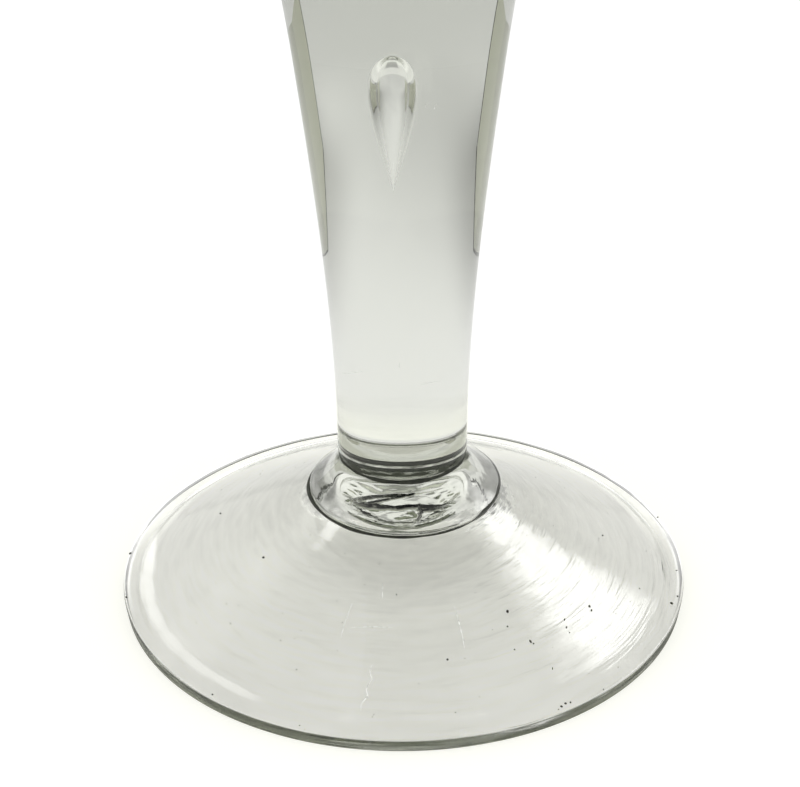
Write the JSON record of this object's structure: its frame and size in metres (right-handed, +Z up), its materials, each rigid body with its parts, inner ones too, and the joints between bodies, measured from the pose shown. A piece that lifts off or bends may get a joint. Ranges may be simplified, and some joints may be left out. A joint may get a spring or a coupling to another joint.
{
  "type": "drinking goblet",
  "caption": "Tall footed drinking glass: pointed funnel bowl on a solid tapering stem with an air tear, low collar and high conical foot.",
  "frame": {"origin": "centre of the ring that the foot stands on, in the plane of the table", "axes": "+Z up along the axis of the glass, from the foot to the mouth; the glass is turned, so +X and +Y are free"},
  "size_m": [0.088, 0.088, 0.1876],
  "materials": {
    "clear_glass": "hand-blown lead glass, fire-polished, with a faint grey-green tint",
    "broken_glass": "rough broken glass"
  },
  "bodies": {
    "root": {"foot": "clear_glass", "collar": "clear_glass", "stem": "clear_glass", "bowl": "clear_glass", "pontil_scar": "broken_glass"}
  },
  "joints": []
}
